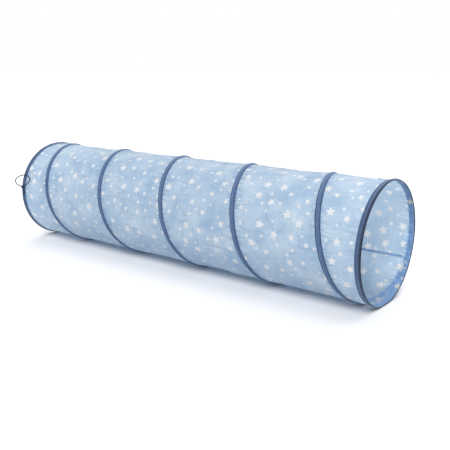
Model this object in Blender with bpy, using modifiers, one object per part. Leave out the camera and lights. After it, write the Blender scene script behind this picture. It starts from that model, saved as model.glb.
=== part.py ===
"""Agility tunnel: a printed polyester tube held open by one long spring wire.

Blender 4.5, metres, +Z up, standing on Z = 0 with its bore along X.  Run it with
    blender --background --python part.py
or from the text editor.  The wire makes a closed hoop at each mouth and a coil of about five
turns between them.  A bias tape sewn on the outside of the fabric covers every wire.  The coil,
its tape and the fabric are single pieces on the real tunnel, and are divided here at the turns,
so that each turn can travel when the near hoop is pushed towards the far one.
"""

import math

import bmesh
import bpy
from mathutils import Matrix, Vector

# ---- Overall size -------------------------------------------------------------------------
TUNNEL_LENGTH = 1.80           # over both end bindings
TUNNEL_DIAMETER = 0.46         # over the tapes, before the underside settles flat

# ---- Spring wire --------------------------------------------------------------------------
WIRE_DIAMETER = 0.002
COIL_START_DEG = -126.0        # where the wire leaves the far hoop: 0 is the top, 90 the front
COIL_STEPS = 203               # facets that the coil takes to reach the near hoop
COIL_CUTS = (0, 41, 81, 122, 162, 203)      # facets where one turn's nodes end and the next begin
EASE_DEG = 62.0                # over which the coil turns from a hoop's plane to its full pitch
WIRE_GAP = 0.0004              # between the hoop's wire and the coil's, inside a sleeve

# ---- Tape, bindings and fabric --------------------------------------------------------------
TAPE_WIDTH = 0.022
TAPE_THICKNESS = 0.0008
BINDING_WIDTH = 0.024
HOOP_SETBACK = 0.008           # from a mouth's edge to its hoop wire's middle
FABRIC_THICKNESS = 0.0008      # the real cloth is thinner, see the record
WAIST_DEPTH = 0.006            # how far the fabric draws in between two turns a pitch apart
LAYER_GAP = 0.001              # between a wire and the tape over it or the fabric under it
NODE_GAP = 0.0004              # between the cut ends of pieces that are one on the real tunnel

# ---- Crimped sleeves -----------------------------------------------------------------------
SLEEVE_LENGTH = 0.014
SLEEVE_WALL = 0.0004
SLEEVE_GAP = 0.00025           # around the two wires that it holds
SLEEVE_ARC_STEPS = 6           # facets of each round end

# ---- Facets ---------------------------------------------------------------------------------
FACETS = 40                    # around the bore
FLAT_FACETS = 1                # on each side of the lowest line that lie flat on the floor
FABRIC_STEPS = 4               # along each turn's fabric
WIRE_RESOLUTION = 2            # gives an eight-sided wire
SHARP_EDGE_DEG = 30.0          # edges sharper than this are shaded flat

# ---- Storage loop: a knotted cord on the far binding, at the front --------------------------
CORD_DIAMETER = 0.0045
KNOT_ANGLE_DEG = 81.0
KNOT_SIZE = (0.013, 0.0105, 0.012)
KNOT_SEGMENTS = 12
KNOT_RINGS = 8
KNOT_GAP = 0.0003
CORD_SAMPLES = 3               # tube points for each stretch between two route points
# Each route point is (along the bore, up, out from the tapes' outer face), from the knot's middle.
LOOP_ROUTE = (
    (-0.0074, 0.0004, 0.0052), (-0.0140, 0.0014, 0.0058), (-0.0270, 0.0042, 0.0072),
    (-0.0400, 0.0092, 0.0086), (-0.0490, 0.0165, 0.0090), (-0.0530, 0.0245, 0.0088),
    (-0.0500, 0.0330, 0.0080), (-0.0400, 0.0415, 0.0068), (-0.0260, 0.0485, 0.0054),
    (-0.0120, 0.0528, 0.0040), (0.0020, 0.0545, 0.0034), (0.0150, 0.0540, 0.0030),
    (0.0275, 0.0518, 0.0028), (0.0385, 0.0475, 0.0028), (0.0450, 0.0418, 0.0028),
    (0.0465, 0.0345, 0.0028), (0.0425, 0.0265, 0.0028), (0.0350, 0.0187, 0.0029),
    (0.0262, 0.0117, 0.0033), (0.0180, 0.0064, 0.0040), (0.0124, 0.0034, 0.0047),
    (0.0074, 0.0014, 0.0052),
)
TAIL_ROUTE = (
    (0.0024, -0.0074, 0.0050), (0.0052, -0.0114, 0.0047), (0.0096, -0.0152, 0.0041),
    (0.0140, -0.0186, 0.0035), (0.0174, -0.0226, 0.0029), (0.0188, -0.0274, 0.0026),
    (0.0180, -0.0326, 0.0026), (0.0156, -0.0370, 0.0028),
)

# ---- Worked out from the sizes above -----------------------------------------------------------
OUTER_R = TUNNEL_DIAMETER / 2
HALF_LENGTH = TUNNEL_LENGTH / 2
STEP_DEG = 360.0 / FACETS
STEP_ARC = OUTER_R * math.radians(STEP_DEG)              # one facet's length round the bore
FLAT_DEG = FLAT_FACETS * STEP_DEG
AXIS_HEIGHT = OUTER_R * math.cos(math.radians(FLAT_DEG))
WIRE_R = WIRE_DIAMETER / 2
WIRE_SPACING = WIRE_DIAMETER + WIRE_GAP
WIRE_INSET = TAPE_THICKNESS + LAYER_GAP + WIRE_R
FABRIC_INSET = WIRE_INSET + WIRE_R + LAYER_GAP
LIP_INSET = FABRIC_INSET + FABRIC_THICKNESS
HOOP_X = HALF_LENGTH - HOOP_SETBACK
COIL_SPAN = 2 * (HOOP_X - WIRE_SPACING)
EASE_STEPS = EASE_DEG / STEP_DEG
STEP_ADVANCE = COIL_SPAN / (COIL_STEPS - EASE_STEPS)     # along the bore for each facet, at full pitch
CUT_STEPS = NODE_GAP / 2 / STEP_ARC                      # taken off each end of a turn's wire and tape
KNOT_X = -HALF_LENGTH + BINDING_WIDTH / 2

COLOURS = {
    "spring_steel": ((0.42, 0.43, 0.45), 0.35, 1.0),
    "crimped_brass": ((0.55, 0.44, 0.22), 0.35, 1.0),
    "navy_bias_tape": ((0.065, 0.115, 0.27), 0.7, 0.0),
    "printed_polyester": ((0.42, 0.58, 0.78), 0.6, 0.0),
    "navy_cord": ((0.02, 0.03, 0.075), 0.8, 0.0),
}


def clear_scene():
    """Removes everything that a new file or an earlier run has left."""
    for obj in list(bpy.data.objects):
        bpy.data.objects.remove(obj, do_unlink=True)


def make_material(name):
    """A Principled material with one of the named colours."""
    colour, roughness, metallic = COLOURS[name]
    material = bpy.data.materials.new(name)
    material.use_nodes = True
    shader = material.node_tree.nodes["Principled BSDF"]
    shader.inputs["Base Color"].default_value = (*colour, 1.0)
    shader.inputs["Roughness"].default_value = roughness
    shader.inputs["Metallic"].default_value = metallic
    material.diffuse_color = (*colour, 1.0)
    return material


def place(x, angle_deg, inset):
    """The point at an angle round the bore, a depth inside the outline that lies flat on the floor."""
    from_bottom = abs((angle_deg % 360.0) - 180.0)
    radius = OUTER_R
    if from_bottom < FLAT_DEG:
        radius = AXIS_HEIGHT / math.cos(math.radians(from_bottom))
    angle = math.radians(angle_deg)
    depth = radius - inset
    return Vector((x, -depth * math.sin(angle), AXIS_HEIGHT + depth * math.cos(angle)))


def coil_x(step):
    """The coil wire's place along the bore, a number of facets from its start."""
    from_end = min(step, COIL_STEPS - step)
    if from_end < EASE_STEPS:
        travel = STEP_ADVANCE * from_end ** 2 / (2 * EASE_STEPS)
    else:
        travel = STEP_ADVANCE * (from_end - EASE_STEPS / 2)
    return (travel - COIL_SPAN / 2) * (1 if step <= COIL_STEPS / 2 else -1)


def coil_angle(step):
    return COIL_START_DEG + step * STEP_DEG


def coil_slope(step):
    """How far the coil advances for each facet, at that step."""
    from_end = min(step, COIL_STEPS - step)
    return STEP_ADVANCE * min(1.0, from_end / EASE_STEPS)


def waist(x, angle_deg):
    """How far the fabric draws in at a place between the two wires that hold it there."""
    first = ((angle_deg - COIL_START_DEG) % 360.0) / STEP_DEG
    passes = []
    step = first
    while step <= COIL_STEPS:
        passes.append(coil_x(step))
        step += FACETS
    held = [-HOOP_X, *passes, HOOP_X]
    for low, high in zip(held, held[1:]):
        if low <= x <= high and high > low:
            share = (x - low) / (high - low)
            width = (high - low) / (FACETS * STEP_ADVANCE)
            return WAIST_DEPTH * min(1.0, width) * 4 * share * (1 - share)
    return 0.0


def settle(bm, draw_in=False):
    """Moves a mesh built round the X axis to its place over the floor, flat along its underside."""
    for vert in bm.verts:
        angle = math.degrees(math.atan2(-vert.co.y, vert.co.z))
        inset = OUTER_R - math.hypot(vert.co.y, vert.co.z)
        if draw_in:
            inset += waist(vert.co.x, angle)
        vert.co = place(vert.co.x, angle, inset)


def axis_point(face):
    """The point of the bore's axis beside a face."""
    return Vector((face.calc_center_median().x, 0.0, AXIS_HEIGHT))


def spin_profile(points, closed):
    """A bmesh of a profile of (x, inset) points turned once round the X axis."""
    bm = bmesh.new()
    verts = [bm.verts.new((x, 0.0, OUTER_R - inset)) for x, inset in points]
    edges = [bm.edges.new(pair) for pair in zip(verts, verts[1:])]
    if closed:
        edges.append(bm.edges.new((verts[-1], verts[0])))
    bmesh.ops.spin(
        bm,
        geom=verts + edges,
        cent=(0, 0, 0),
        axis=(1, 0, 0),
        angle=2 * math.pi,
        steps=FACETS,
        use_merge=True,
    )
    return bm


def link(name, data, material, holder, collection):
    """Adds an object whose data is in world coordinates, with its origin at its holder."""
    data.transform(Matrix.Translation(-holder.location))
    data.materials.append(material)
    obj = bpy.data.objects.new(name, data)
    obj.parent = holder
    collection.objects.link(obj)
    return obj


def link_mesh(name, bm, material, holder, collection):
    bmesh.ops.recalc_face_normals(bm, faces=bm.faces)
    mesh = bpy.data.meshes.new(name)
    bm.to_mesh(mesh)
    bm.free()
    mesh.shade_smooth()
    mesh.set_sharp_from_angle(angle=math.radians(SHARP_EDGE_DEG))
    return link(name, mesh, material, holder, collection)


def add_wall(obj, thickness):
    """Gives an open surface its thickness, inwards from the faces as built."""
    wall = obj.modifiers.new("wall", "SOLIDIFY")
    wall.thickness = thickness
    wall.offset = -1.0
    wall.use_even_offset = True


def link_tube(name, points, diameter, material, holder, collection, cyclic=False):
    """A round wire or cord through the points."""
    curve = bpy.data.curves.new(name, "CURVE")
    curve.dimensions = "3D"
    curve.bevel_depth = diameter / 2
    curve.bevel_resolution = WIRE_RESOLUTION
    curve.use_fill_caps = not cyclic
    spline = curve.splines.new("POLY")
    spline.points.add(len(points) - 1)
    for point, co in zip(spline.points, points):
        point.co = (*co, 1.0)
    spline.use_cyclic_u = cyclic
    return link(name, curve, material, holder, collection)


def smooth_route(route, samples):
    """Points on a smooth curve through a route's own points."""
    ends = [2 * route[0] - route[1], *route, 2 * route[-1] - route[-2]]
    points = []
    for before, start, end, after in zip(ends, ends[1:], ends[2:], ends[3:]):
        for k in range(samples):
            t = k / samples
            points.append(
                0.5 * (2 * start + (end - before) * t
                       + (2 * before - 5 * start + 4 * end - after) * t ** 2
                       + (3 * start - before - 3 * end + after) * t ** 3)
            )
    return [*points, route[-1]]


def add_hoop(side, name, material, holder, collection):
    points = [place(side * HOOP_X, k * STEP_DEG, WIRE_INSET) for k in range(FACETS)]
    link_tube(name, points, WIRE_DIAMETER, material, holder, collection, cyclic=True)


def add_binding(side, name, material, holder, collection):
    """Tape folded over a mouth's edge: a band outside, and a lip down over the fabric's end."""
    profile = (
        (HALF_LENGTH, 0.0),
        (HALF_LENGTH, LIP_INSET),
        (HALF_LENGTH - TAPE_THICKNESS, LIP_INSET),
        (HALF_LENGTH - TAPE_THICKNESS, TAPE_THICKNESS),
        (HALF_LENGTH - BINDING_WIDTH, TAPE_THICKNESS),
        (HALF_LENGTH - BINDING_WIDTH, 0.0),
    )
    bm = spin_profile([(side * x, inset) for x, inset in profile], closed=True)
    settle(bm)
    link_mesh(name, bm, material, holder, collection)


def stadium(half_span, radius):
    """A flat outline with round ends, as 2D points."""
    points = []
    for side, start in ((1, -90.0), (-1, 90.0)):
        for k in range(SLEEVE_ARC_STEPS + 1):
            angle = math.radians(start + 180.0 * k / SLEEVE_ARC_STEPS)
            points.append((side * half_span + radius * math.cos(angle), radius * math.sin(angle)))
    return points


def add_sleeve(side, name, material, holder, collection):
    """A crimped sleeve round the hoop's wire and the coil's, in the middle of the coil's end facet."""
    step = 0.5 if side < 0 else COIL_STEPS - 0.5
    start, end = math.floor(step), math.ceil(step)
    wire_x = (coil_x(start) + coil_x(end)) / 2
    drift = abs(coil_x(end) - coil_x(start)) * SLEEVE_LENGTH / 2 / STEP_ARC
    half_span = abs(wire_x - side * HOOP_X) / 2 + drift
    middle_x = (wire_x + side * HOOP_X) / 2
    low = place(middle_x, coil_angle(start), WIRE_INSET)
    high = place(middle_x, coil_angle(end), WIRE_INSET)
    inner = WIRE_R + SLEEVE_GAP
    curve = bpy.data.curves.new(name, "CURVE")
    curve.dimensions = "2D"
    curve.fill_mode = "BOTH"
    curve.extrude = SLEEVE_LENGTH / 2
    for radius in (inner + SLEEVE_WALL, inner):
        outline = stadium(half_span, radius)
        spline = curve.splines.new("POLY")
        spline.points.add(len(outline) - 1)
        for point, (u, v) in zip(spline.points, outline):
            point.co = (u, v, 0.0, 1.0)
        spline.use_cyclic_u = True
    along = (high - low).normalized()
    across = Vector((1, 0, 0))
    turn = Matrix((across, along.cross(across), along)).transposed().to_4x4()
    obj = bpy.data.objects.new(name, curve)
    curve.materials.append(material)
    obj.parent = holder
    obj.matrix_basis = Matrix.Translation((low + high) / 2 - holder.location) @ turn
    collection.objects.link(obj)


def add_coil_turn(number, material, holder, collection):
    """One turn's length of the spring wire."""
    first, last = COIL_CUTS[number - 1], COIL_CUTS[number]
    steps = [first + CUT_STEPS, *range(first + 1, last), last - CUT_STEPS]
    points = [place(coil_x(s), coil_angle(s), WIRE_INSET) for s in steps]
    link_tube(f"coil_turn_{number}", points, WIRE_DIAMETER, material, holder, collection)


def add_coil_tape(number, material, holder, collection):
    """The tape over one turn of the wire, cut off along the edges of the end bindings."""
    first, last = COIL_CUTS[number - 1], COIL_CUTS[number]
    count = last - first
    bm = bmesh.new()
    bmesh.ops.create_grid(bm, x_segments=count, y_segments=1, size=1.0)
    for vert in bm.verts:
        step = first + (vert.co.x + 1) / 2 * count
        step = min(max(step, first + CUT_STEPS), last - CUT_STEPS)
        lean = math.atan2(coil_slope(step), STEP_ARC)
        across = vert.co.y * TAPE_WIDTH / 2 / math.cos(lean)
        vert.co = place(coil_x(step) + across, coil_angle(step), 0.0)
    for side in (-1, 1):
        bmesh.ops.bisect_plane(
            bm,
            geom=bm.verts[:] + bm.edges[:] + bm.faces[:],
            plane_co=(side * (HALF_LENGTH - BINDING_WIDTH - NODE_GAP), 0, 0),
            plane_no=(side, 0, 0),
            clear_outer=True,
        )
    bm.normal_update()
    first_face = next(iter(bm.faces))
    if first_face.normal.dot(first_face.calc_center_median() - axis_point(first_face)) < 0:
        bmesh.ops.reverse_faces(bm, faces=bm.faces)
    mesh = bpy.data.meshes.new(f"coil_tape_{number}")
    bm.to_mesh(mesh)
    bm.free()
    mesh.shade_smooth()
    obj = link(f"coil_tape_{number}", mesh, material, holder, collection)
    add_wall(obj, TAPE_THICKNESS)


def add_fabric(number, material, holder, collection):
    """The fabric tube along one turn, drawn in between the wires."""
    end = HALF_LENGTH - TAPE_THICKNESS - NODE_GAP
    low = -end if number == 1 else coil_x(COIL_CUTS[number - 1]) + NODE_GAP / 2
    high = end if number == len(COIL_CUTS) - 1 else coil_x(COIL_CUTS[number]) - NODE_GAP / 2
    stations = [low + (high - low) * k / FABRIC_STEPS for k in range(FABRIC_STEPS + 1)]
    bm = spin_profile([(x, FABRIC_INSET) for x in stations], closed=False)
    settle(bm, draw_in=True)
    obj = link_mesh(f"fabric_section_{number}", bm, material, holder, collection)
    add_wall(obj, FABRIC_THICKNESS)


def route_point(knot, along, up, out):
    """A cord's point, given from the knot along the bore, up, and out from the tapes' face."""
    height = knot.z + up
    reach = OUTER_R + out
    return Vector((knot.x + along, -math.sqrt(reach ** 2 - (height - AXIS_HEIGHT) ** 2), height))


def add_storage_loop(material, holder, collection):
    """The cord that ties the folded tunnel: its knot, its loop and its free end."""
    knot = place(KNOT_X, KNOT_ANGLE_DEG, -(KNOT_GAP + KNOT_SIZE[1] / 2))
    bm = bmesh.new()
    bmesh.ops.create_uvsphere(bm, u_segments=KNOT_SEGMENTS, v_segments=KNOT_RINGS, radius=0.5)
    bmesh.ops.scale(bm, vec=KNOT_SIZE, verts=bm.verts)
    bmesh.ops.translate(bm, vec=knot, verts=bm.verts)
    link_mesh("storage_loop_knot", bm, material, holder, collection)
    for name, route in (("storage_loop_cord", LOOP_ROUTE), ("storage_loop_tail", TAIL_ROUTE)):
        points = smooth_route([route_point(knot, *p) for p in route], CORD_SAMPLES)
        link_tube(name, points, CORD_DIAMETER, material, holder, collection)


def add_holder(name, x, collection):
    """An empty on the bore's axis, which carries the pieces of one body."""
    empty = bpy.data.objects.new(name, None)
    empty.empty_display_size = BINDING_WIDTH
    empty.location = (x, 0.0, AXIS_HEIGHT)
    collection.objects.link(empty)
    return empty


def build():
    clear_scene()
    collection = bpy.data.collections.new("agility_tunnel")
    bpy.context.scene.collection.children.link(collection)
    materials = {name: make_material(name) for name in COLOURS}

    for side, end in ((-1, "far"), (1, "near")):
        holder = add_holder(f"{end}_end", side * HOOP_X, collection)
        add_hoop(side, f"{end}_hoop_wire", materials["spring_steel"], holder, collection)
        add_sleeve(side, f"{end}_crimp_sleeve", materials["crimped_brass"], holder, collection)
        add_binding(side, f"{end}_binding", materials["navy_bias_tape"], holder, collection)
        if side < 0:
            add_storage_loop(materials["navy_cord"], holder, collection)

    for number in range(1, len(COIL_CUTS)):
        middle = (coil_x(COIL_CUTS[number - 1]) + coil_x(COIL_CUTS[number])) / 2
        holder = add_holder(f"turn_{number}", middle, collection)
        add_coil_turn(number, materials["spring_steel"], holder, collection)
        add_coil_tape(number, materials["navy_bias_tape"], holder, collection)
        add_fabric(number, materials["printed_polyester"], holder, collection)


build()
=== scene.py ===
import math

import bmesh
import bpy
import numpy as np
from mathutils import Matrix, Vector, noise


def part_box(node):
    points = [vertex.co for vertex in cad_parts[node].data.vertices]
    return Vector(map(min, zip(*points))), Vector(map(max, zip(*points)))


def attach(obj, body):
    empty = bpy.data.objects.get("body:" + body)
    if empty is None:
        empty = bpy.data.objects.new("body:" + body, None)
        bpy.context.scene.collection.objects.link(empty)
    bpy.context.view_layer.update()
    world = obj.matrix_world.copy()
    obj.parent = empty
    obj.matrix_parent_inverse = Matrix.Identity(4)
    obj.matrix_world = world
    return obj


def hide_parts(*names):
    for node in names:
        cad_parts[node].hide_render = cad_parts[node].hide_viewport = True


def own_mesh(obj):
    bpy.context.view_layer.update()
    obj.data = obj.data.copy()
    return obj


print("tunnel: loading the frame")
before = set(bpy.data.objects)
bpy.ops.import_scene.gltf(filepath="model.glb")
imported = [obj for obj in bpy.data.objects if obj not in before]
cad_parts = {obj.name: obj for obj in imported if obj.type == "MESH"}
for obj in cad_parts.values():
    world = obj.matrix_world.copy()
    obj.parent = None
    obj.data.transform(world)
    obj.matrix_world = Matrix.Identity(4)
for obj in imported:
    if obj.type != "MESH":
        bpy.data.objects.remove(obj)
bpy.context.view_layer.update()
nearLow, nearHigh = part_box("near_binding")
nearWireLow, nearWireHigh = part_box("near_hoop_wire")

# sizes that every piece shares, read from the frame but for how softly the tube settles
tube = {
    "mouthX": nearHigh[0],  # half the length
    "radius": (nearHigh[1] - nearLow[1]) / 2,  # over the tapes
    "bandWidth": nearHigh[0] - nearLow[0],
    "hoopX": (nearWireHigh[0] + nearWireLow[0]) / 2,
    "wireRadius": (nearWireHigh[0] - nearWireLow[0]) / 2,
    "wireInset": (nearHigh[1] - nearWireHigh[1]) + (nearWireHigh[0] - nearWireLow[0]) / 2,
    "settling": 0.0008,  # over which the round runs into the flat underneath
}
tube["axisZ"] = nearHigh[2] - tube["radius"]

# the coil's path, as the frame has it
coil = {
    "startDeg": -126.0,  # 0 is the top, 90 the front, 180 the floor
    "turns": 203 / 40,
    "easeTurns": 62 / 360,  # over which the pitch grows from nothing at each end
    "setIn": 0.0024,  # beside the hoop's wire
    "pointsInTurn": 120,
}


def coilX(turns):
    # how far along the bore the coil is, so many turns from its start
    half = tube["hoopX"] - coil["setIn"]
    advance = 2 * half / (coil["turns"] - coil["easeTurns"])
    fromEnd = np.minimum(turns, coil["turns"] - turns)
    eased = advance * fromEnd**2 / (2 * coil["easeTurns"])
    travel = np.where(fromEnd < coil["easeTurns"], eased, advance * (fromEnd - coil["easeTurns"] / 2))
    return np.where(turns <= coil["turns"] / 2, travel - half, half - travel)


def coilLean(turns):
    # the angle between the coil and a hoop's plane
    step = 1e-4
    slope = (coilX(turns + step) - coilX(turns - step)) / (2 * step)
    return np.arctan2(slope, 2 * math.pi * tube["radius"])


def settled(x, angleDeg, inset):
    # points over the floor: a circle round the bore that is gently flat underneath
    angle = np.radians(angleDeg)
    fromBottom = np.radians(np.abs(np.mod(angleDeg, 360.0) - 180.0))
    flat = tube["axisZ"] / np.maximum(np.cos(fromBottom), 0.2)
    soft = tube["settling"]
    depth = tube["radius"] - soft * np.log(np.exp(-(flat - tube["radius"]) / soft) + 1.0) - inset
    return np.stack([x + 0 * angle, -depth * np.sin(angle), tube["axisZ"] + depth * np.cos(angle)], axis=-1)


def smoothRamp(value, low, high):
    t = np.clip((value - low) / (high - low), 0, 1)
    return t * t * (3 - 2 * t)


def noiseAt(*axes):
    # smooth noise at many points at once
    stacked = np.stack(np.broadcast_arrays(*axes), axis=-1).reshape(-1, 3)
    values = [noise.noise(Vector(p)) for p in stacked.tolist()]
    return np.array(values).reshape(np.broadcast(*axes).shape)


view = {"place": (1.793, -2.103, 0.8385), "turnDeg": 127.65, "tiltDeg": -13.8, "lens": 52.4, "sensor": 36.0}
cameraData = bpy.data.cameras.new("camera")
cameraData.lens, cameraData.sensor_width = view["lens"], view["sensor"]
camera = bpy.data.objects.new("camera", cameraData)
turn, tilt = math.radians(view["turnDeg"]), math.radians(view["tiltDeg"])
aim = Vector((math.cos(turn) * math.cos(tilt), math.sin(turn) * math.cos(tilt), math.sin(tilt)))
camera.location = view["place"]
camera.rotation_euler = aim.to_track_quat("-Z", "Y").to_euler()
bpy.context.scene.collection.objects.link(camera)
bpy.context.scene.camera = camera


def linear(hexColour):
    # sRGB hex to the linear numbers that shaders take
    parts = [int(hexColour[k : k + 2], 16) / 255 for k in (1, 3, 5)]
    return tuple(c / 12.92 if c <= 0.04045 else ((c + 0.055) / 1.055) ** 2.4 for c in parts) + (1.0,)


def addNode(tree, kind, inputs, **settings):
    # a node with its settings; each input is a value, or the node or socket that feeds it
    node = tree.nodes.new(f"ShaderNode{kind}")
    for key, value in settings.items():
        setattr(node, key, value)
    for key, value in inputs.items():
        source = value.outputs[0] if isinstance(value, bpy.types.Node) else value
        if isinstance(source, bpy.types.NodeSocket):
            tree.links.new(source, node.inputs[key])
        else:
            node.inputs[key].default_value = value
    return node


def newMaterial(name):
    material = bpy.data.materials.new(name)
    material.use_nodes = True
    material.node_tree.nodes.clear()
    return material, material.node_tree


def bandScale(spacingMm):
    # a wave texture's bands are pi / 10 apart at a scale of 1
    return math.pi / 10 / (spacingMm / 1000)


print("tunnel: materials")
cloth = {
    "blue": "#CCD9E1",
    "deepBlue": "#9FB8CE",
    "shadedCreaseBlue": "#6C90B8",  # painted shade along the creases, mixed over the dye
    "ink": "#E9E8E6",
    "glow": "#AEC5DA",  # light that comes through the dyed cloth
    "glowInk": "#D6D8DC",
    "seamBlue": "#96C2F4",
    "tapeShadowBehind": "#92BAEA",  # painted shade where the tape on the outside blocks the light that comes through the cloth
    "throughShare": 0.48,
    "blotchMm": 111,  # in the dye
    "streakMm": (167, 6.25),  # round the tube and along it, as all these pairs are
    "streakShare": 0.25,
    "dyeSpan": (0.38, 0.62),
    "threadMm": 5.655,  # taffeta threads are about 0.15 mm, far too fine to show, so they are drawn coarser
    "crumpleMm": 29.4,
    "reliefHeight": 0.0026,
    "weaveHeight": 0.0002,
    # lines of creases, and the patches of cloth that have one set of them or the other
    "longCreases": {"sizeMm": (41.67, 166.7), "turn": 0.16, "width": 0.040},
    "slantingCreases": {"sizeMm": (142.9, 58.82), "turn": 0.75, "width": 0.034},
    "gathers": {"sizeMm": (16.13, 76.9), "turn": 0.0, "width": 0.07},
    "patchMm": 76.9,
    # a scattering of large and middling stars, and one of small stars between them
    "large": {"cellMm": 78, "stray": 0.5, "tipMm": (13.5, 19.5), "turnDeg": 17, "shift": (0.31, 0.12)},
    "small": {"cellMm": 57, "stray": 0.6, "tipMm": (7.4, 9.6), "turnDeg": 41, "shift": (0.22, 0.71)},
    "valley": 0.47,  # a star's inner corners, as a share of its tips' reach
    "blunt": 1.12,  # tips print slightly round
    "inkEdgeMm": 0.6,
}


def laid(size):
    return {"Location": (*size["shift"], 0), "Rotation": (0, 0, math.radians(size["turnDeg"]))}


def scattered(size):
    return {"Scale": 1000 / size["cellMm"], "Randomness": size["stray"]}


def starLayer(tree, metres, size, larger=None):
    # one size of star scattered over the cloth; gives its mask, blank where a larger star is too near
    where = addNode(tree, "Mapping", {"Vector": metres, **laid(size)})
    cells = addNode(tree, "TexVoronoi", {"Vector": where, **scattered(size)}, voronoi_dimensions="2D")
    middle = cells.outputs["Position"]
    fromMiddle = addNode(tree, "VectorMath", {0: where, 1: middle}, operation="SUBTRACT")
    chance = addNode(tree, "SeparateColor", {0: cells.outputs["Color"]})
    spin = addNode(tree, "Math", {0: chance, 1: 2 * math.pi}, operation="MULTIPLY")
    turned = addNode(tree, "VectorRotate", {"Vector": fromMiddle, "Angle": spin}, rotation_type="Z_AXIS")
    # half of one point is drawn, and folded round the star
    flat = addNode(tree, "SeparateXYZ", {0: turned})
    around = addNode(tree, "Math", {0: flat.outputs[1], 1: flat}, operation="ARCTAN2")
    folded = addNode(tree, "Math", {0: around, 1: math.pi / 5}, operation="PINGPONG")
    reach = addNode(tree, "VectorMath", {0: turned}, operation="LENGTH").outputs["Value"]
    valley, fifth = cloth["valley"], math.pi / 5
    steep = (1 - valley * math.cos(fifth)) / (valley * math.sin(fifth))
    sine = addNode(tree, "Math", {0: folded}, operation="SINE")
    cosine = addNode(tree, "Math", {0: folded}, operation="COSINE")
    edge = addNode(tree, "Math", {0: sine, 1: steep, 2: cosine}, operation="MULTIPLY_ADD")
    pointed = addNode(tree, "Math", {0: edge, 1: reach}, operation="MULTIPLY")
    blunted = addNode(tree, "Math", {0: reach, 1: cloth["blunt"]}, operation="MULTIPLY")
    outline = addNode(tree, "Math", {0: pointed, 1: blunted}, operation="MAXIMUM")
    # each star is near one end of its range of sizes or the other, and varies a little
    small, big = (reached / 1000 for reached in size["tipMm"])
    span = {"From Min": 0.4, "From Max": 0.6, "To Min": small, "To Max": big}
    grown = addNode(tree, "MapRange", {"Value": chance.outputs[1], **span})
    varied = addNode(tree, "Math", {0: chance.outputs[2], 1: 0.16, 2: 0.92}, operation="MULTIPLY_ADD")
    tip = addNode(tree, "Math", {0: grown, 1: varied}, operation="MULTIPLY")
    inside = addNode(tree, "Math", {0: tip, 1: outline}, operation="SUBTRACT")
    soft = cloth["inkEdgeMm"] / 1000
    mask = addNode(tree, "MapRange", {"Value": inside, "From Min": -soft, "From Max": soft})
    if larger is None:
        return mask
    # the star's own middle, back in the cloth's metres, and how far the nearest larger star's is from it
    back = addNode(tree, "Mapping", {"Vector": middle, **laid(size)}, vector_type="TEXTURE")
    there = addNode(tree, "Mapping", {"Vector": back, **laid(larger)})
    nearest = addNode(tree, "TexVoronoi", {"Vector": there, **scattered(larger)}, voronoi_dimensions="2D")
    gap = addNode(tree, "VectorMath", {0: there, 1: nearest.outputs["Position"]}, operation="DISTANCE")
    needed = (size["tipMm"][0] + larger["tipMm"][1]) / 1000
    clear = addNode(tree, "Math", {0: gap.outputs["Value"], 1: needed}, operation="GREATER_THAN")
    return addNode(tree, "Math", {0: mask, 1: clear}, operation="MULTIPLY")


def creaseLines(tree, metres, crease):
    # wandering lines where noise passes through its middle; 1 along a line, falling to 0 beside it
    scale = [1000 / mm for mm in crease["sizeMm"]]
    spread = {"Vector": metres, "Rotation": (0, 0, crease["turn"]), "Scale": (*scale, 1.0)}
    drawnOut = addNode(tree, "Mapping", spread)
    waves = addNode(tree, "TexNoise", {"Vector": drawnOut, "Scale": 1.0, "Detail": 0.8, "Distortion": 0.1})
    offMiddle = addNode(tree, "Math", {0: waves, 1: 0.5}, operation="SUBTRACT")
    away = addNode(tree, "Math", {0: offMiddle}, operation="ABSOLUTE")
    fade = {"Value": away, "From Min": 0.0, "From Max": crease["width"], "To Min": 1.0, "To Max": 0.0}
    return addNode(tree, "MapRange", fade, interpolation_type="SMOOTHSTEP")


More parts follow.
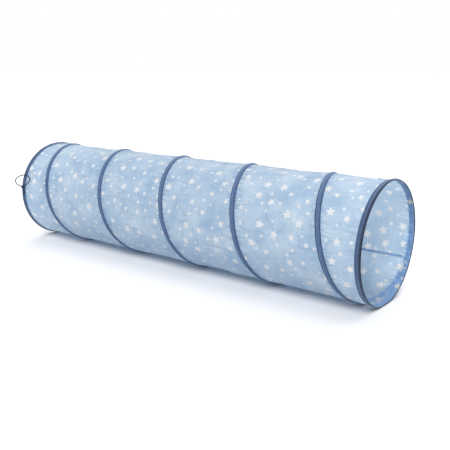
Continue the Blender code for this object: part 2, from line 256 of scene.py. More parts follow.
def makeCloth():
    # polyester taffeta, dyed light blue and screen printed: thin, slightly glossy, and light comes through it
    material, tree = newMaterial("polyester taffeta printed")
    metres = addNode(tree, "UVMap", {}, uv_map="clothMetres")
    largeStars = starLayer(tree, metres, cloth["large"])
    smallStars = starLayer(tree, metres, cloth["small"], larger=cloth["large"])
    stars = addNode(tree, "Math", {0: largeStars, 1: smallStars}, operation="MAXIMUM")
    # the dye, in blotches and in streaks round the tube
    noiseFine = {"Detail": 4.0, "Roughness": 0.6}
    uneven = addNode(tree, "TexNoise", {"Vector": metres, "Scale": 1000 / cloth["blotchMm"], **noiseFine})
    streakScale = [1000 / mm for mm in cloth["streakMm"]]
    drawnOut = addNode(tree, "Mapping", {"Vector": metres, "Scale": (*streakScale, 1.0)})
    streaks = addNode(tree, "TexNoise", {"Vector": drawnOut, "Scale": 1.0, "Detail": 3.0, "Roughness": 0.55})
    blotches = addNode(tree, "Math", {0: uneven, 1: 1 - cloth["streakShare"]}, operation="MULTIPLY")
    dye = addNode(tree, "Math", {0: streaks, 1: cloth["streakShare"], 2: blotches}, operation="MULTIPLY_ADD")
    lowDye, highDye = cloth["dyeSpan"]
    contrast = addNode(tree, "MapRange", {"Value": dye, "From Min": lowDye, "From Max": highDye})
    blues = {"Factor": contrast, 6: linear(cloth["blue"]), 7: linear(cloth["deepBlue"])}
    dyed = addNode(tree, "Mix", blues, data_type="RGBA").outputs[2]
    # creases: long ones that don't cross, and short gathers that run out from the tapes, drawn in the relief
    # and painted as shade in the colour
    marks = ("strain", "plies", "crest")
    strain, plies, crest = (addNode(tree, "Attribute", {}, attribute_name=mark).outputs[2] for mark in marks)
    long = creaseLines(tree, metres, cloth["longCreases"])
    slanting = creaseLines(tree, metres, cloth["slantingCreases"])
    gathers = creaseLines(tree, metres, cloth["gathers"])
    strained = addNode(tree, "Math", {0: gathers, 1: strain}, operation="MULTIPLY")
    patches = addNode(tree, "TexNoise", {"Vector": metres, "Scale": 1000 / cloth["patchMm"], "Detail": 1.0})
    longPatch = addNode(tree, "MapRange", {"Value": patches, "From Min": 0.42, "From Max": 0.62})
    slantPatch = addNode(tree, "MapRange", {"Value": patches, "From Min": 0.44, "From Max": 0.30})
    longHere = addNode(tree, "Math", {0: long, 1: longPatch}, operation="MULTIPLY")
    slantingHere = addNode(tree, "Math", {0: slanting, 1: slantPatch}, operation="MULTIPLY")
    across = addNode(tree, "Math", {0: longHere, 1: slantingHere}, operation="MAXIMUM")
    faintCreaseShade = addNode(tree, "Math", {0: across, 1: 0.3}, operation="MULTIPLY")
    creaseShadeMask = addNode(tree, "Math", {0: faintCreaseShade, 1: strained}, operation="MAXIMUM")
    shallow = addNode(tree, "Math", {0: across, 1: 0.8}, operation="MULTIPLY")
    creased = addNode(tree, "Math", {0: shallow, 1: strained}, operation="MAXIMUM")
    creaseShadeAmount = addNode(tree, "Math", {0: creaseShadeMask, 1: 0.75}, operation="MULTIPLY")
    # painted shade: the creases and gathers darken the dyed blue towards the crease blue
    flat = addNode(tree, "Mix", {"Factor": creaseShadeAmount, 6: dyed, 7: linear(cloth["shadedCreaseBlue"])}, data_type="RGBA")
    # the seam's layers, seen through each other, painted shade where the tape behind the cloth blocks the
    # light through it, and the print over all of it
    seam = addNode(tree, "Math", {0: plies, 1: longPatch}, operation="MULTIPLY")
    seamed = {"Factor": seam, 6: flat.outputs[2], 7: linear(cloth["seamBlue"])}
    ground = addNode(tree, "Mix", seamed, data_type="RGBA").outputs[2]
    backed = {"Factor": crest, 6: ground, 7: linear(cloth["tapeShadowBehind"])}
    tapeShaded = addNode(tree, "Mix", backed, data_type="RGBA").outputs[2]
    surface = addNode(tree, "Mix", {"Factor": stars, 6: tapeShaded, 7: linear(cloth["ink"])}, data_type="RGBA")
    lit = {"Factor": stars, 6: linear(cloth["glow"]), 7: linear(cloth["glowInk"])}
    through = addNode(tree, "Mix", lit, data_type="RGBA")
    # relief: crumples and creases, then warp and weft threads
    crumple = addNode(tree, "TexNoise", {"Vector": metres, "Scale": 1000 / cloth["crumpleMm"], **noiseFine})
    ribbed = addNode(tree, "Math", {0: streaks, 1: 0.8}, operation="MULTIPLY")
    raised = addNode(tree, "Math", {0: crumple, 1: 2.5, 2: ribbed}, operation="MULTIPLY_ADD")
    folds = addNode(tree, "Math", {0: creased, 1: -0.9, 2: raised}, operation="MULTIPLY_ADD")
    threads = {"Vector": metres, "Scale": bandScale(cloth["threadMm"]), "Distortion": 0.15}
    warp = addNode(tree, "TexWave", threads, bands_direction="X").outputs[1]
    weft = addNode(tree, "TexWave", threads, bands_direction="Y").outputs[1]
    weave = addNode(tree, "Math", {0: warp, 1: weft}, operation="MULTIPLY")
    creaseBump = addNode(tree, "Bump", {"Height": folds, "Strength": 1.0, "Distance": cloth["reliefHeight"]})
    weaveRelief = {"Height": weave, "Strength": 0.35, "Distance": cloth["weaveHeight"], "Normal": creaseBump}
    weaveBump = addNode(tree, "Bump", weaveRelief)
    gloss = addNode(tree, "Math", {0: stars, 1: 0.12, 2: 0.5}, operation="MULTIPLY_ADD")  # the ink is duller
    face = addNode(
        tree,
        "BsdfPrincipled",
        {
            "Base Color": surface.outputs[2],
            "Roughness": gloss,
            "IOR": 1.5,
            "Specular IOR Level": 0.6,
            "Sheen Weight": 0.25,
            "Sheen Roughness": 0.4,
            "Normal": weaveBump,
        },
    )
    glow = addNode(tree, "BsdfTranslucent", {"Color": through.outputs[2], "Normal": weaveBump})
    both = addNode(tree, "MixShader", {0: cloth["throughShare"], 1: face, 2: glow})
    addNode(tree, "OutputMaterial", {"Surface": both})
    return material


tape = {
    "navy": "#2B4063",
    # the edge colour is painted shade in the grooves and folds; the rubbed colour below is partly real wear,
    # partly a painted highlight on the crest
    "edge": "#0D1427",
    "wearAndHighlight": "#7A97BE",
    "nap": "#A3C0E0",
    "wornMm": 16.667,
    "ribMm": 10.053,  # the twill's ribs are about 0.5 mm, far too fine to show, so they are drawn coarser
    "ribHeight": 0.0002,
}


def makeTape():
    # woven polyester bias tape: matt twill with a faint nap, and painted light: a painted highlight along the
    # crest, painted shade in the grooves beside it and along the bindings' edges
    material, tree = newMaterial("polyester bias tape")
    metres = addNode(tree, "UVMap", {}, uv_map="clothMetres")
    slant = addNode(tree, "Mapping", {"Vector": metres, "Rotation": (0, 0, math.radians(45))})
    twill = {"Vector": slant, "Scale": bandScale(tape["ribMm"]), "Distortion": 0.4}
    ribs = addNode(tree, "TexWave", twill, bands_direction="X").outputs[1]
    rubbed = {"Vector": metres, "Scale": 1000 / tape["wornMm"], "Detail": 4.0, "Roughness": 0.6}
    rubbing = addNode(tree, "TexNoise", rubbed)
    crest = addNode(tree, "Attribute", {}, attribute_name="crest").outputs[2]
    # painted light: shade where the crest falls away into the grooves, and a highlight on the crest that the
    # rubbing varies
    wearAndHighlight = addNode(tree, "Math", {0: rubbing, 1: 0.5, 2: -0.08}, operation="MULTIPLY_ADD")
    lift = addNode(tree, "Math", {0: crest, 1: wearAndHighlight}, operation="MULTIPLY")
    navies = {"Factor": crest, 6: linear(tape["edge"]), 7: linear(tape["navy"])}
    ground = addNode(tree, "Mix", navies, data_type="RGBA").outputs[2]
    lighter = addNode(tree, "Mix", {"Factor": lift, 6: ground, 7: linear(tape["wearAndHighlight"])}, data_type="RGBA")
    shade = addNode(tree, "Math", {0: ribs, 1: 0.16, 2: 0.9}, operation="MULTIPLY_ADD")
    tapeWithPaintedLight = addNode(tree, "VectorMath", {0: lighter.outputs[2], "Scale": shade}, operation="SCALE")
    bump = addNode(tree, "Bump", {"Height": ribs, "Strength": 0.5, "Distance": tape["ribHeight"]})
    face = addNode(
        tree,
        "BsdfPrincipled",
        {
            "Base Color": tapeWithPaintedLight,
            "Roughness": 0.72,
            "IOR": 1.5,
            "Specular IOR Level": 0.3,
            "Sheen Weight": 0.85,
            "Sheen Roughness": 0.45,
            "Sheen Tint": linear(tape["nap"]),
            "Normal": bump,
        },
    )
    addNode(tree, "OutputMaterial", {"Surface": face})
    return material


thread = {"dark": "#25345F", "light": "#41558C", "twistMm": 1.111}


def makeThread():
    # spun polyester sewing thread: a soft twist along each stitch
    material, tree = newMaterial("polyester sewing thread")
    where = addNode(tree, "TexCoord", {}).outputs["Object"]
    twist = addNode(tree, "TexNoise", {"Vector": where, "Scale": 1000 / thread["twistMm"], "Detail": 2.0})
    navies = {"Factor": twist, 6: linear(thread["dark"]), 7: linear(thread["light"])}
    tone = addNode(tree, "Mix", navies, data_type="RGBA").outputs[2]
    spun = {"Base Color": tone, "Roughness": 0.6, "Sheen Weight": 0.25, "IOR": 1.5}
    addNode(tree, "OutputMaterial", {"Surface": addNode(tree, "BsdfPrincipled", spun)})
    return material


steel = {"dark": "#8D9095", "light": "#B4B7BB", "markMm": 1.43}


def makeSteel():
    # drawn spring steel wire: grey, with fine die lines and a little oil
    material, tree = newMaterial("drawn spring steel")
    where = addNode(tree, "TexCoord", {}).outputs["Object"]
    marks = addNode(tree, "TexNoise", {"Vector": where, "Scale": 1000 / steel["markMm"], "Detail": 4.0})
    greys = {"Factor": marks, 6: linear(steel["dark"]), 7: linear(steel["light"])}
    tone = addNode(tree, "Mix", greys, data_type="RGBA").outputs[2]
    rough = addNode(tree, "Math", {0: marks, 1: 0.2, 2: 0.22}, operation="MULTIPLY_ADD")
    bump = addNode(tree, "Bump", {"Height": marks, "Strength": 0.2, "Distance": 0.00005})
    drawn = {"Base Color": tone, "Metallic": 1.0, "Roughness": rough, "Normal": bump}
    addNode(tree, "OutputMaterial", {"Surface": addNode(tree, "BsdfPrincipled", drawn)})
    return material


brass = {"dark": "#A98B45", "light": "#D2B56A", "scuffMm": 2.22}


def makeBrass():
    # crimped brass sleeve: yellow metal, scuffed by the crimping jaws
    material, tree = newMaterial("crimped brass")
    where = addNode(tree, "TexCoord", {}).outputs["Object"]
    scuffs = addNode(tree, "TexNoise", {"Vector": where, "Scale": 1000 / brass["scuffMm"], "Detail": 6.0})
    yellows = {"Factor": scuffs, 6: linear(brass["dark"]), 7: linear(brass["light"])}
    tone = addNode(tree, "Mix", yellows, data_type="RGBA").outputs[2]
    rough = addNode(tree, "Math", {0: scuffs, 1: 0.3, 2: 0.2}, operation="MULTIPLY_ADD")
    bump = addNode(tree, "Bump", {"Height": scuffs, "Strength": 0.4, "Distance": 0.0002})
    crimped = {"Base Color": tone, "Metallic": 1.0, "Roughness": rough, "Normal": bump}
    addNode(tree, "OutputMaterial", {"Surface": addNode(tree, "BsdfPrincipled", crimped)})
    return material


cord = {"dark": "#060C22", "light": "#16244F", "nap": "#3B5590", "strandMm": 1.2, "strandDeg": 40}


def makeCord():
    # braided polyester cord: two sets of strands that cross, each catching the light along its crown
    material, tree = newMaterial("braided polyester cord")
    where = addNode(tree, "TexCoord", {}).outputs["Object"]
    strands = []
    for side in (-1, 1):
        turned = (0, math.radians(side * cord["strandDeg"]), 0)  # in the plane that the loop lies in
        slant = addNode(tree, "Mapping", {"Vector": where, "Rotation": turned})
        bands = {"Vector": slant, "Scale": bandScale(cord["strandMm"])}
        strands.append(addNode(tree, "TexWave", bands, bands_direction="X").outputs[1])
    braid = addNode(tree, "Math", {0: strands[0], 1: strands[1]}, operation="MAXIMUM")
    navies = {"Factor": braid, 6: linear(cord["dark"]), 7: linear(cord["light"])}
    tone = addNode(tree, "Mix", navies, data_type="RGBA").outputs[2]
    bump = addNode(tree, "Bump", {"Height": braid, "Strength": 0.7, "Distance": 0.0003})
    face = addNode(
        tree,
        "BsdfPrincipled",
        {
            "Base Color": tone,
            "Roughness": 0.75,
            "IOR": 1.5,
            "Specular IOR Level": 0.3,
            "Sheen Weight": 0.15,
            "Sheen Tint": linear(cord["nap"]),
            "Normal": bump,
        },
    )
    addNode(tree, "OutputMaterial", {"Surface": face})
    return material


clothMaterial, tapeMaterial, threadMaterial = makeCloth(), makeTape(), makeThread()
steelMaterial, brassMaterial, cordMaterial = makeSteel(), makeBrass(), makeCord()


def wrappedSheet(name, columns, rows, shape, material):
    # a flat grid laid into place: shape takes each corner's two shares, and gives its point, its metres
    # of cloth and the values that its material reads
    bm = bmesh.new()
    bmesh.ops.create_grid(bm, x_segments=columns, y_segments=rows, size=1.0)
    mesh = bpy.data.meshes.new(name)
    bm.to_mesh(mesh)
    bm.free()
    grid = np.empty(len(mesh.vertices) * 3)
    mesh.vertices.foreach_get("co", grid)
    shares = (grid.reshape(-1, 3)[:, :2] + 1) / 2
    points, metres, values = shape(shares[:, 0], shares[:, 1])
    mesh.vertices.foreach_set("co", points.astype(np.float32).ravel())
    corners = np.empty(len(mesh.loops), dtype=np.int32)
    mesh.loops.foreach_get("vertex_index", corners)
    layer = mesh.uv_layers.new(name="clothMetres")
    layer.data.foreach_set("uv", metres[corners].astype(np.float32).ravel())
    for key, value in values.items():
        attribute = mesh.attributes.new(key, "FLOAT", "POINT")
        attribute.data.foreach_set("value", value.astype(np.float32))
    mesh.update()
    facing = np.empty(len(mesh.polygons) * 3)
    mesh.polygons.foreach_get("normal", facing)
    middles = np.empty(len(mesh.polygons) * 3)
    mesh.polygons.foreach_get("center", middles)
    outwards = middles.reshape(-1, 3) - [0, 0, tube["axisZ"]]
    if (facing.reshape(-1, 3)[:, 1:] * outwards[:, 1:]).sum() < 0:
        mesh.flip_normals()
    mesh.shade_smooth()
    mesh.materials.append(material)
    piece = bpy.data.objects.new(name, mesh)
    bpy.context.scene.collection.objects.link(piece)
    return piece


def addThickness(piece, thickness):
    wall = piece.modifiers.new("wall", "SOLIDIFY")
    wall.thickness, wall.offset = thickness, -1.0


def curvePiece(name, runs, radius, resolution, material, cyclic=False):
    # round thread, wire or cord along each run of points
    curve = bpy.data.curves.new(name, "CURVE")
    curve.dimensions = "3D"
    curve.bevel_depth, curve.bevel_resolution, curve.use_fill_caps = radius, resolution, not cyclic
    for run in runs:
        spline = curve.splines.new("POLY")
        spline.points.add(len(run) - 1)
        spline.points.foreach_set("co", np.column_stack([run, np.ones(len(run))]).ravel())
        spline.use_cyclic_u = cyclic
    curve.materials.append(material)
    piece = bpy.data.objects.new(name, curve)
    bpy.context.scene.collection.objects.link(piece)
    return piece


def asMesh(piece):
    # the same piece as a mesh, smooth shaded, with its ends closed
    depsgraph = bpy.context.evaluated_depsgraph_get()
    mesh = bpy.data.meshes.new_from_object(piece.evaluated_get(depsgraph))
    name, old = piece.name, piece.data
    bpy.data.objects.remove(piece)
    bpy.data.curves.remove(old)
    bm = bmesh.new()
    bm.from_mesh(mesh)
    bmesh.ops.remove_doubles(bm, verts=bm.verts, dist=1e-6)
    bm.to_mesh(mesh)
    bm.free()
    mesh.shade_smooth()
    mesh.set_sharp_from_angle(angle=math.radians(50))
    made = bpy.data.objects.new(name, mesh)
    bpy.context.scene.collection.objects.link(made)
    return made


def collapsing(piece):
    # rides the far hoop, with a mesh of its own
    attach(piece, "far_end")
    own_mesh(piece)


print("tunnel: storage loop")
loop = {
    "diameter": 0.0045,
    "samples": 6,  # tube points in each stretch of the route
    "rings": 6,
    # along the bore, up, and out from the tapes' face, from the knot's middle
    "route": (
        (-0.0074, 0.0004, 0.0052), (-0.0140, 0.0014, 0.0058), (-0.0270, 0.0042, 0.0072),
        (-0.0400, 0.0092, 0.0086), (-0.0490, 0.0165, 0.0090), (-0.0530, 0.0245, 0.0088),
        (-0.0500, 0.0330, 0.0080), (-0.0400, 0.0415, 0.0068), (-0.0260, 0.0485, 0.0054),
        (-0.0120, 0.0528, 0.0040), (0.0020, 0.0545, 0.0034), (0.0150, 0.0540, 0.0030),
        (0.0275, 0.0518, 0.0028), (0.0385, 0.0475, 0.0028), (0.0450, 0.0418, 0.0028),
        (0.0465, 0.0345, 0.0028), (0.0425, 0.0265, 0.0028), (0.0350, 0.0187, 0.0029),
        (0.0262, 0.0117, 0.0033), (0.0180, 0.0064, 0.0040), (0.0124, 0.0034, 0.0047),
        (0.0074, 0.0014, 0.0052),
    ),
    "tail": (
        (0.0024, -0.0074, 0.0050), (0.0052, -0.0114, 0.0047), (0.0096, -0.0152, 0.0041),
        (0.0140, -0.0186, 0.0035), (0.0174, -0.0226, 0.0029), (0.0188, -0.0274, 0.0026),
        (0.0180, -0.0326, 0.0026), (0.0156, -0.0370, 0.0028),
    ),
}
knot = {
    "points": 60,
    "size": 0.35,  # these two are shares of the cord's diameter
    "thickness": 0.47,
    "wide": 1.08,
    "deep": 1.25,
    "rings": 5,
    "grain": 0.00035,
    # where the cord's two sides and its free end run into the knot, from its middle
    "legs": (
        ((-0.0072, 0.0005, 0.0004), (-0.0015, -0.0008, 0.0015)),
        ((0.0072, 0.0005, 0.0014), (0.0015, -0.0008, 0.0010)),
        ((0.0023, 0.0006, -0.0072), (0.0004, -0.0004, -0.0012)),
    ),
}
knotLow, knotHigh = (Vector(corner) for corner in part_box("storage_loop_knot"))
knotMiddle = (knotLow + knotHigh) / 2


def cordPoints(route):
    # a smooth curve through the route's own points, over the floor
    points = []
    for along, up, out in route:
        height = knotMiddle.z + up
        reach = tube["radius"] + out
        points.append((knotMiddle.x + along, -math.sqrt(reach**2 - (height - tube["axisZ"]) ** 2), height))
    points = np.array(points)
    ends = np.vstack([2 * points[0] - points[1], points, 2 * points[-1] - points[-2]])
    curve = []
    for a, b, c, d in zip(ends, ends[1:], ends[2:], ends[3:]):
        for t in np.arange(loop["samples"]) / loop["samples"]:
            bend = (2 * a - 5 * b + 4 * c - d) * t**2 + (3 * b - a - 3 * c + d) * t**3
            curve.append(0.5 * (2 * b + (c - a) * t + bend))
    return np.array([*curve, points[-1]])


def addKnot():
    # an overhand knot pulled tight: the cord crosses itself in a trefoil, and its legs leave together
    turns = np.linspace(0, 2 * math.pi, knot["points"], endpoint=False)
    size = knot["size"] * loop["diameter"]
    wide = (np.sin(turns) + 2 * np.sin(2 * turns)) * size * knot["wide"]
    deep = -np.sin(3 * turns) * size * knot["deep"]
    tall = (np.cos(turns) - 2 * np.cos(2 * turns)) * size
    middle = np.array(knotMiddle)
    trefoil = np.column_stack([wide, deep, tall]) + middle
    thickness = loop["diameter"] * knot["thickness"]
    core = curvePiece("storageLoopKnot", [trefoil], thickness, knot["rings"], cordMaterial, cyclic=True)
    legs = middle + np.array(knot["legs"])
    ends = curvePiece("knotLegs", legs, loop["diameter"] / 2, knot["rings"], cordMaterial)
    tied, ends = asMesh(core), asMesh(ends)
    bm = bmesh.new()
    bm.from_mesh(tied.data)
    bm.from_mesh(ends.data)
    bm.to_mesh(tied.data)
    bm.free()
    bpy.data.objects.remove(ends)
    grain = tied.modifiers.new("grain", "REMESH")
    grain.mode, grain.voxel_size, grain.use_smooth_shade = "VOXEL", knot["grain"], True
    relax = tied.modifiers.new("relax", "SMOOTH")
    relax.factor, relax.iterations = 0.5, 3
    return tied


loopLine, tailLine = cordPoints(loop["route"]), cordPoints(loop["tail"])
storageLoop = curvePiece("storageLoopCord", [loopLine], loop["diameter"] / 2, loop["rings"], cordMaterial)
storageTail = curvePiece("storageLoopTail", [tailLine], loop["diameter"] / 2, loop["rings"], cordMaterial)
storageKnot = addKnot()
for piece, node in (
    (storageLoop, "storage_loop_cord"),
    (storageTail, "storage_loop_tail"),
    (storageKnot, "storage_loop_knot"),
):
    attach(piece, "far_end")
    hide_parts(node)

print("tunnel: fabric")
fabric = {
    "inset": 0.00505,  # under the tapes' margins
    "waist": 0.0038,  # drawn in, halfway between two turns a full pitch apart
    "sag": 0.0007,  # the cloth's own weight
    "leastDrawn": 0.0002,  # clear of the crimp sleeves
    "seamDeg": 245.0,
    "allowance": 0.009,
    "plySteps": 5,
    "plyLift": (0.0013, 0.0007),
    "columns": 384,
    "rows": 256,
    "endGap": 0.0012,  # from a mouth's edge, inside the binding's fold
}
# each kind of fold's height, and its size along the bore and round it
# start and lift pick its part of the noise, so that no two kinds are alike
folds = {
    "broad": {"height": 0.0020, "along": 0.16, "around": 0.11, "start": 0, "lift": 0},
    "creases": {"height": 0.00204, "along": 0.017, "around": 0.15, "start": 40, "lift": 0},
    "fineCreases": {"height": 0.00306, "along": 0.034, "around": 0.06, "start": 11, "lift": 0},
    "tension": {"height": 0.0026, "along": 0.16, "around": 0.017, "start": -5, "lift": 0},
    "puckers": {"height": 0.0044, "along": 0.08, "around": 0.016346, "start": 0, "lift": 0},
    "patches": {"height": 1.0, "along": 0.2, "around": 0.16, "start": 7, "lift": 3},  # where the tension shows
}


def fold(kind, x, angleDeg):
    # noise on the tube's own surface, so that it meets itself where the cloth closes
    size = folds[kind]
    angle = np.radians(angleDeg)
    ring = tube["radius"] / size["around"]
    across, up = ring * np.cos(angle), ring * np.sin(angle) + size["lift"]
    return size["height"] * noiseAt(x / size["along"] + size["start"], across, up)


def wiresAround(x, angleDeg):
    # the nearest held line on each side of every point, along the bore
    start = np.mod(angleDeg - coil["startDeg"], 360.0) / 360.0
    low = np.full(x.shape, -tube["hoopX"])
    high = np.full(x.shape, tube["hoopX"])
    for extra in range(math.ceil(coil["turns"])):
        turns = start + extra
        real = turns <= coil["turns"]
        there = coilX(np.minimum(turns, coil["turns"]))
        low = np.where(real & (there <= x), np.maximum(low, there), low)
        high = np.where(real & (there > x), np.minimum(high, there), high)
    return low, high


def clothRelief(x, angleDeg):
    # how far the cloth is drawn in, with its creases
    low, high = wiresAround(x, angleDeg)
    width = np.maximum(high - low, 1e-6)
    share = np.clip((x - low) / width, 0, 1)
    pitch = 2 * tube["hoopX"] / coil["turns"]
    depth = np.minimum(1, width / pitch)
    bowl = 1 - np.abs(2 * share - 1) ** 2.6
    near = np.minimum(np.abs(x - low), np.abs(high - x))
    offTape = smoothRamp(near, 0.010, 0.034)
    midway = smoothRamp(near, 0.02, 0.11)
    patch = smoothRamp(fold("patches", x, angleDeg), -0.15, 0.35)
    besideTape = smoothRamp(near, 0.009, 0.015) * np.exp(-np.maximum(near - 0.012, 0) / 0.03)
    relief = (fabric["waist"] + fabric["sag"] * np.cos(np.radians(angleDeg))) * bowl * depth
    relief += fold("broad", x, angleDeg) * midway * depth
    relief += (fold("creases", x, angleDeg) + fold("fineCreases", x, angleDeg)) * offTape
    relief += fold("tension", x, angleDeg) * patch * offTape
    relief += (fold("puckers", x, angleDeg) + 0.2 * folds["puckers"]["height"]) * besideTape
    return np.maximum(relief, fabric["leastDrawn"])


def shapeCloth(u, v):
    # once round the bore, then the two raw edges of the seam pressed flat on the inside
    plyShare = fabric["plySteps"] / fabric["columns"]
    girth = 2 * math.pi * (tube["radius"] - fabric["inset"])
    onStart = np.clip((plyShare - u) / plyShare, 0, 1)  # 1 at the first raw edge
    onEnd = np.clip((u - 1 + plyShare) / plyShare, 0, 1)  # 1 at the last
    around = np.clip((u - plyShare) / (1 - 2 * plyShare), 0, 1)
    angle = fabric["seamDeg"] + 360 * around - (onStart + onEnd) * 360 * fabric["allowance"] / girth
    x = (v * 2 - 1) * (tube["mouthX"] - fabric["endGap"])
    startLift, endLift = fabric["plyLift"]
    under = startLift * smoothRamp(onStart, 0, 0.3) + endLift * smoothRamp(onEnd, 0, 0.25)
    inset = fabric["inset"] + clothRelief(x, angle) + under
    metres = np.column_stack([girth * around + (onEnd - onStart) * fabric["allowance"], x])
    low, high = wiresAround(x, angle)
    near = np.minimum(np.abs(x - low), np.abs(high - x))
    taped = 1 - smoothRamp(near, 0.0112, 0.0128)
    bandFrom = tube["mouthX"] - tube["bandWidth"]
    bound = smoothRamp(np.abs(x), bandFrom - 0.001, bandFrom)
    marks = {
        "crest": np.maximum(taped, bound),  # where a tape or binding lies behind, and casts its painted shade through the cloth
        "strain": np.exp(-np.maximum(near - 0.012, 0) / 0.028),
        "plies": np.maximum(smoothRamp(onStart, 0, 0.2), smoothRamp(onEnd, 0, 0.2)),
    }
    return settled(x, angle, inset), metres, marks


clothTube = wrappedSheet("fabricTube", fabric["columns"], fabric["rows"], shapeCloth, clothMaterial)
turnNumbers = range(1, math.floor(coil["turns"]) + 1)

print("tunnel: coil tape")
coilTape = {
    "width": 0.022,
    "thickness": 0.0005,
    "columns": 1800,
    "rows": 14,
    "firstTurn": 0.04,
    "fromMouth": 0.0026,
    "stitchLine": 0.0083,
    # millimetres from the wire to the tape's edge, and how far in from the tube's radius
    "profile": (
        (0, 0.15), (1.0, 0.25), (2.0, 0.85), (3.2, 2.0), (4.6, 3.15),
        (6.0, 3.85), (7.2, 4.2), (8.3, 4.32), (9.6, 4.15), (11.0, 4.3),
    ),
}


def tapeInset(across):
    profile = np.array(coilTape["profile"]) / 1000
    return np.interp(np.abs(across), profile[:, 0], profile[:, 1])


def tapePucker(along, across):
    # the tape's edge, drawn up by its stitches
    return noiseAt(along / 0.006, across / 0.02, 0) * 0.00022 * smoothRamp(np.abs(across), 0.006, 0.011)


def shapeCoilTape(u, v):
    turns = coilTape["firstTurn"] + u * (coil["turns"] - 2 * coilTape["firstTurn"])
    across = (v - 0.5) * coilTape["width"]
    along = turns * 2 * math.pi * tube["radius"]
    wander = noiseAt(along / 0.09, 0, 3) * 0.0006 * smoothRamp(np.abs(across), 0.006, 0.011)
    crown = noiseAt(along / 0.03, across / 0.01, 9) * 0.00012
    x = coilX(turns) + (across + wander) / np.cos(coilLean(turns))
    limit = tube["mouthX"] - coilTape["fromMouth"]  # so it stays inside the bindings where it starts and ends
    inset = tapeInset(across) + tapePucker(along, across) + crown
    points = settled(np.clip(x, -limit, limit), coil["startDeg"] + 360 * turns, inset)
    # the mask for the tape's painted light: a painted highlight over the wire, painted shade in the grooves
    # beside it
    edge = smoothRamp(np.abs(across), 0.009, 0.0105)
    crest = 1 - smoothRamp(np.abs(across), 0.0062, 0.0088) + 0.5 * edge
    return points, np.column_stack([along, across]), {"crest": crest}


tapePiece = wrappedSheet("coilTape", coilTape["columns"], coilTape["rows"], shapeCoilTape, tapeMaterial)
addThickness(tapePiece, coilTape["thickness"])

print("tunnel: bindings")
binding = {
    "columns": 720,
    "lapDeg": 5.0,
    "lapRise": 0.00058,
    "joinDeg": 262.0,
    "thickness": 0.0005,
    "stitchAt": 0.0172,  # from the mouth's edge
    "overSleeve": 0.00105,
    "overTape": 0.0006,
    # millimetres from the mouth's edge, and how far in from the tube's radius:
    # from the inboard edge, round the hoop and the mouth's edge, to the lip inside
    "profile": (
        (24.0, 4.3), (22.6, 4.12), (20.2, 4.15), (18.6, 4.22), (17.2, 4.3), (15.8, 4.15),
        (14.3, 3.7), (12.6, 2.7), (11.0, 1.5), (9.6, 0.65), (8.0, 0.3), (6.4, 0.5),
        (5.0, 0.95), (3.6, 1.5), (2.3, 2.1), (1.3, 2.6), (0.5, 3.1), (0.1, 3.9),
        (0.1, 4.8), (0.5, 5.7), (1.2, 6.1), (2.4, 6.2),
    ),
}
bindingFromEdge, bindingInset = (np.array(binding["profile"]) / 1000).T
bindingStations = np.arange(len(bindingFromEdge))


def overTape(side, x, angle):
    # how far the coil's tape pushes out the binding that lies on it, as an inset and a share
    if side < 0:
        turnsIn = np.mod(angle - coil["startDeg"], 360) / 360
        turns = turnsIn
    else:
        turnsIn = np.mod(coil["startDeg"] + 360 * coil["turns"] - angle, 360) / 360
        turns = coil["turns"] - turnsIn
    across = (x - coilX(turns)) * np.cos(coilLean(turns))
    nearWire = 1 - smoothRamp(np.abs(across), 0.0100, 0.0120)
    begun = smoothRamp(turnsIn, coilTape["firstTurn"] * 0.4, coilTape["firstTurn"])
    return tapeInset(across) - binding["overTape"], nearWire * begun


def overSleeve(side, fromEdge, angle):
    # the share of the binding's bulge over the crimped sleeve
    low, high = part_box(f"{'far' if side < 0 else 'near'}_crimp_sleeve")
    sleeveDeg = math.degrees(math.atan2(-(low[1] + high[1]) / 2, (low[2] + high[2]) / 2 - tube["axisZ"]))
    fromSleeve = np.abs(np.mod(angle - sleeveDeg + 180, 360) - 180)
    beside = smoothRamp(fromEdge, 0.003, 0.0055) * (1 - smoothRamp(fromEdge, 0.0135, 0.0165))
    return (1 - smoothRamp(fromSleeve, 2.4, 4.4)) * beside


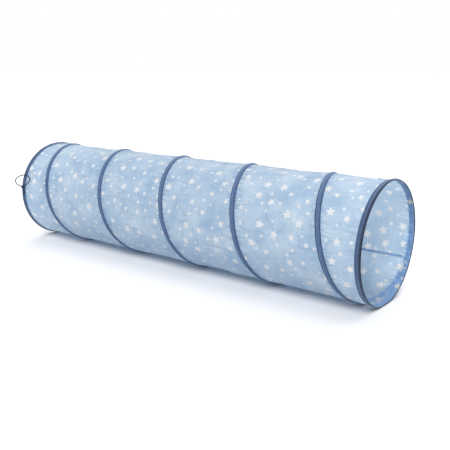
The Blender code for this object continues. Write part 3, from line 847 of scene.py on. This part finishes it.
def bindingShape(side):
    def shape(u, v):
        angle = binding["joinDeg"] + u * (360 + binding["lapDeg"])
        fromEdge = np.interp(v * bindingStations[-1], bindingStations, bindingFromEdge)
        inset = np.interp(v * bindingStations[-1], bindingStations, bindingInset)
        x = side * (tube["mouthX"] - fromEdge)
        along = np.radians(angle) * tube["radius"]
        outer = 1 - smoothRamp(inset, 0.0046, 0.005)
        onTape, tapeShare = overTape(side, x, angle)
        sleeveShare = overSleeve(side, fromEdge, angle) * outer
        inset = inset + (np.minimum(inset, binding["overSleeve"]) - inset) * sleeveShare
        inset = inset + (np.minimum(inset, onTape) - inset) * tapeShare * outer * (fromEdge > 0.0025)
        # the tape's far end laps over its start, with a little pucker and wave all round
        lap = smoothRamp(u * (360 + binding["lapDeg"]), 360 - 1.2, 360 + 0.3)
        lapInward = np.where(inset > 0.0047, 1.0, -1.0)
        sewn = smoothRamp(fromEdge, 0.012, 0.016)
        pucker = noiseAt(along / 0.007, fromEdge / 0.02 + side, 0) * 0.00022 * sewn
        ripple = noiseAt(along / 0.04, fromEdge / 0.015 + side, 5) * 0.00016
        inset = inset + (pucker + ripple) * outer + lap * binding["lapRise"] * lapInward
        wave = noiseAt(along / 0.05, side, 2) * 0.0007 * smoothRamp(fromEdge, 0.018, 0.024)
        metres = np.column_stack([along, v * 0.034])
        # the mask for the binding's painted light: painted shade at the mouth's fold and on the lip inside,
        # lighter across the outer face, darker again towards the inboard edge
        crest = 0.3 * smoothRamp(fromEdge, 0.002, 0.006) + 0.4 * smoothRamp(fromEdge, 0.008, 0.013)
        crest -= 0.5 * smoothRamp(fromEdge, 0.0222, 0.0235)
        return settled(x + side * (wave - lap * 0.00015), angle, inset), metres, {"crest": crest}

    return shape


for side, end in ((-1, "far"), (1, "near")):
    rows = 2 * (len(binding["profile"]) - 1)
    piece = wrappedSheet(f"{end}BindingTape", binding["columns"], rows, bindingShape(side), tapeMaterial)
    addThickness(piece, binding["thickness"])
    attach(piece, f"{end}_end")
    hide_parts(f"{end}_binding")

print("tunnel: stitching")
stitch = {
    "length": 0.003,
    "gap": 0.0006,
    "thickness": 0.00042,
    "proud": 0.00018,
    "sunk": 0.0003,  # at the needle holes
    "corners": (0.0, 0.18, 0.82, 1.0),  # where it dips, lies on the tape, and dips again
    "offBinding": 0.0085,  # where the coil's stitches stop, beside the binding's
}


def stitchRuns(count, pointAt):
    # short raised threads between the needle holes; pointAt gives places and depths along the seam
    share = stitch["length"] / (stitch["length"] + stitch["gap"])
    corners = 0.04 + 0.92 * np.array(stitch["corners"]) * share
    lift = np.array([-stitch["sunk"], stitch["proud"], stitch["proud"], -stitch["sunk"]])
    return list(pointAt((np.arange(count)[:, None] + corners) / count, lift))


def coilStitches(side):
    length = (coil["turns"] - 2 * coilTape["firstTurn"]) * 2 * math.pi * tube["radius"]
    limit = tube["mouthX"] - binding["stitchAt"] - stitch["offBinding"]

    def pointAt(share, lift):
        turns = coilTape["firstTurn"] + share * (coil["turns"] - 2 * coilTape["firstTurn"])
        across = np.full(turns.shape, side * coilTape["stitchLine"])
        x = coilX(turns) + across / np.cos(coilLean(turns))
        inset = tapeInset(across) + tapePucker(turns * 2 * math.pi * tube["radius"], across) - lift
        return settled(x, coil["startDeg"] + 360 * turns, inset)[np.abs(x).max(axis=1) < limit]

    return stitchRuns(int(length / (stitch["length"] + stitch["gap"])), pointAt)


def bindingStitches(side):
    count = int(2 * math.pi * tube["radius"] / (stitch["length"] + stitch["gap"]))
    shape = bindingShape(side)
    v = np.interp(-binding["stitchAt"], -bindingFromEdge, bindingStations) / bindingStations[-1]

    def pointAt(share, lift):
        u = share * 360 / (360 + binding["lapDeg"])
        points, _, _ = shape(u.ravel(), np.full(u.size, v))
        points = points.reshape(*share.shape, 3)
        outwards = points - [0, 0, tube["axisZ"]]
        outwards[..., 0] = 0
        outwards /= np.linalg.norm(outwards, axis=-1, keepdims=True)
        return points + outwards * lift[None, :, None]

    return stitchRuns(count, pointAt)


coilRuns = coilStitches(-1) + coilStitches(1)
coilThread = asMesh(curvePiece("coilStitching", coilRuns, stitch["thickness"] / 2, 0, threadMaterial))
for side, end in ((-1, "far"), (1, "near")):
    name = f"{end}BindingStitching"
    sewn = asMesh(curvePiece(name, bindingStitches(side), stitch["thickness"] / 2, 1, threadMaterial))
    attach(sewn, f"{end}_end")

print("tunnel: spring wire")
wireTurns = np.linspace(0, coil["turns"], int(coil["turns"] * coil["pointsInTurn"]))
wireLine = settled(coilX(wireTurns), coil["startDeg"] + 360 * wireTurns, tube["wireInset"])
coilWire = asMesh(curvePiece("coilWire", [wireLine], tube["wireRadius"], 3, steelMaterial))
for piece, nodes, slot in (
    (clothTube, "fabric_section", "printed_polyester"),
    (tapePiece, "coil_tape", "navy_bias_tape"),
    (coilThread, None, "navy_bias_tape"),
    (coilWire, "coil_turn", "spring_steel"),
):
    collapsing(piece)
    if nodes:
        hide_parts(*(f"{nodes}_{k}" for k in turnNumbers))
for end in ("far", "near"):
    for name, material, slot in (
        ("hoop_wire", steelMaterial, "spring_steel"),
        ("crimp_sleeve", brassMaterial, "crimped_brass"),
    ):
        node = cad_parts[f"{end}_{name}"]
        node.data.materials.clear()
        node.data.materials.append(material)

print("tunnel: floor and light")
studio = {
    "floor": "#DFDFE1",
    "floorReach": 60.0,
    "horizon": "#FFFFFF",
    "zenith": "#A6A8AC",
    "skySpan": (0.12, 0.5),  # from the horizon's white to the zenith's grey
    # name, power, spread in degrees, and where it shines from
    "lights": (("backLight", 2.1, 70.0, (-0.2, 0.55, 1.1)), ("frontKey", 2.7, 34.0, (0.35, -0.85, 1.05))),
}
bm = bmesh.new()
bmesh.ops.create_grid(bm, x_segments=1, y_segments=1, size=studio["floorReach"])
floorMesh = bpy.data.meshes.new("floor")
bm.to_mesh(floorMesh)
bm.free()
floorMaterial, tree = newMaterial("white studio floor")
floorFace = addNode(tree, "BsdfPrincipled", {"Base Color": linear(studio["floor"]), "Roughness": 0.85})
addNode(tree, "OutputMaterial", {"Surface": floorFace})
floorMesh.materials.append(floorMaterial)
floor = bpy.data.objects.new("floor", floorMesh)
bpy.context.scene.collection.objects.link(floor)

world = bpy.data.worlds.new("studio")
world.use_nodes = True
tree = world.node_tree
tree.nodes.clear()
direction = addNode(tree, "TexCoord", {}).outputs["Generated"]
upward = addNode(tree, "SeparateXYZ", {0: direction}).outputs[2]
lowSky, highSky = studio["skySpan"]
rise = addNode(tree, "MapRange", {"Value": upward, "From Min": lowSky, "From Max": highSky})
whites = {"Factor": rise, 6: linear(studio["horizon"]), 7: linear(studio["zenith"])}
sky = addNode(tree, "Mix", whites, data_type="RGBA").outputs[2]
addNode(tree, "OutputWorld", {"Surface": addNode(tree, "Background", {"Color": sky, "Strength": 1.0})})
bpy.context.scene.world = world

for name, power, spread, shinesFrom in studio["lights"]:
    data = bpy.data.lights.new(name, "SUN")
    data.energy, data.angle = power, math.radians(spread)
    light = bpy.data.objects.new(name, data)
    light.rotation_euler = (-Vector(shinesFrom)).to_track_quat("-Z", "Y").to_euler()
    bpy.context.scene.collection.objects.link(light)
bpy.context.scene.view_settings.view_transform = "Standard"

print("tunnel: finishing")
